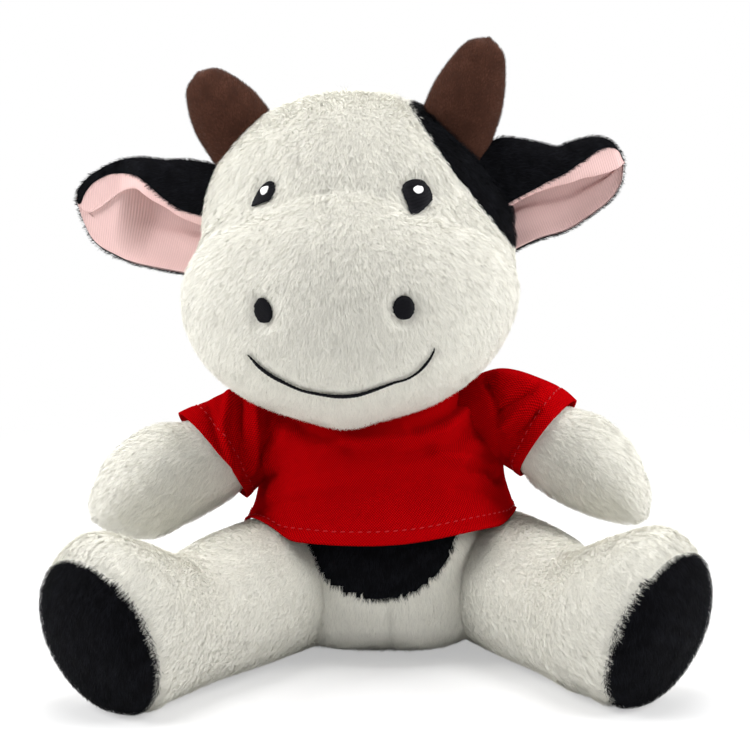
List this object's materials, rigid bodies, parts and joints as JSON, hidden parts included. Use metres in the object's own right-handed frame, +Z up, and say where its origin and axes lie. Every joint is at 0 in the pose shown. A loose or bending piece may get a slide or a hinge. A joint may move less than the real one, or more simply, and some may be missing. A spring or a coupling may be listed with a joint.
{
  "type": "seated plush cow",
  "caption": "Seated stuffed cow in black and white plush with horns, pink-lined ears, embroidered face and a red knitted shirt.",
  "frame": {"origin": "centre of the body's flat underside, on the surface that the toy sits on", "axes": "+Z up, -Y the way the toy faces, +X the toy's own left"},
  "size_m": [0.2064, 0.1842, 0.2017],
  "materials": {
    "white_plush": "matte",
    "black_plush": "matte",
    "brown_plush": "matte",
    "pink_knit": "matte",
    "red_jersey": "matte",
    "fibre_filling": "matte",
    "dark_thread": "satin",
    "white_thread": "satin"
  },
  "bodies": {
    "body": {"body_skin": "white_plush", "belly_patch": "black_plush", "body_fill": "fibre_filling", "shirt_front": "red_jersey", "shirt_back": "red_jersey"},
    "head": {"head_skin": "white_plush", "muzzle_skin": "white_plush", "head_patch": "black_plush", "head_fill": "fibre_filling", "horn_left": "brown_plush", "horn_left_fill": "fibre_filling", "horn_right": "brown_plush", "horn_right_fill": "fibre_filling", "eye_left": "dark_thread", "eye_right": "dark_thread", "eye_glint_left": "white_thread", "eye_glint_right": "white_thread", "nostril_left": "dark_thread", "nostril_right": "dark_thread", "mouth_stitch": "dark_thread"},
    "ear_left": {"ear_left_back": "black_plush", "ear_left_lining": "pink_knit"},
    "ear_right": {"ear_right_back": "black_plush", "ear_right_lining": "pink_knit"},
    "arm_left": {"arm_left_skin": "white_plush", "arm_left_fill": "fibre_filling", "sleeve_left": "red_jersey"},
    "arm_right": {"arm_right_skin": "white_plush", "arm_right_fill": "fibre_filling", "sleeve_right": "red_jersey"},
    "leg_left": {"leg_left_skin": "white_plush", "leg_left_fill": "fibre_filling", "sole_left": "black_plush"},
    "leg_right": {"leg_right_skin": "white_plush", "leg_right_fill": "fibre_filling", "sole_right": "black_plush"},
    "tail": {"tail": "white_plush", "tail_tuft": "black_plush"}
  },
  "joints": [
    {"name": "neck_turn", "type": "hinge", "parent": "body", "child": "head", "pos_m": [-0.0065, 0, 0.098], "axis": [0, 0, 1], "range_deg": [-12, 12], "stiffness_Nm_per_rad": 0.25},
    {"name": "shoulder_left", "type": "hinge", "parent": "body", "child": "arm_left", "pos_m": [0.03211, -0.003, 0.07692], "axis": [0, -1, 0], "range_deg": [0, 30], "stiffness_Nm_per_rad": 0.03, "deforming": ["sleeve_left"]},
    {"name": "shoulder_right", "type": "hinge", "parent": "body", "child": "arm_right", "pos_m": [-0.03972, -0.003, 0.07308], "axis": [0, 1, 0], "range_deg": [0, 30], "stiffness_Nm_per_rad": 0.03, "deforming": ["sleeve_right"]},
    {"name": "hip_left", "type": "hinge", "parent": "body", "child": "leg_left", "pos_m": [0.03, 0.0065, 0], "axis": [0, 0, 1], "range_deg": [-8, 8], "stiffness_Nm_per_rad": 0.2},
    {"name": "hip_right", "type": "hinge", "parent": "body", "child": "leg_right", "pos_m": [-0.026, -0.005, 0], "axis": [0, 0, 1], "range_deg": [-8, 8], "stiffness_Nm_per_rad": 0.2},
    {"name": "ear_left_flap", "type": "hinge", "parent": "head", "child": "ear_left", "pos_m": [0.03747, 0.0012, 0.14868], "axis": [0, -1, 0], "range_deg": [-12, 12], "stiffness_Nm_per_rad": 0.03, "springref_deg": 1.15},
    {"name": "ear_right_flap", "type": "hinge", "parent": "head", "child": "ear_right", "pos_m": [-0.05988, 0.00886, 0.14368], "axis": [0, 1, 0], "range_deg": [-12, 12], "stiffness_Nm_per_rad": 0.03, "springref_deg": 1.15},
    {"name": "tail_swing", "type": "hinge", "parent": "body", "child": "tail", "pos_m": [0, 0.038, 0.026], "axis": [0, 0, 1], "range_deg": [-25, 25], "stiffness_Nm_per_rad": 0.01}
  ]
}
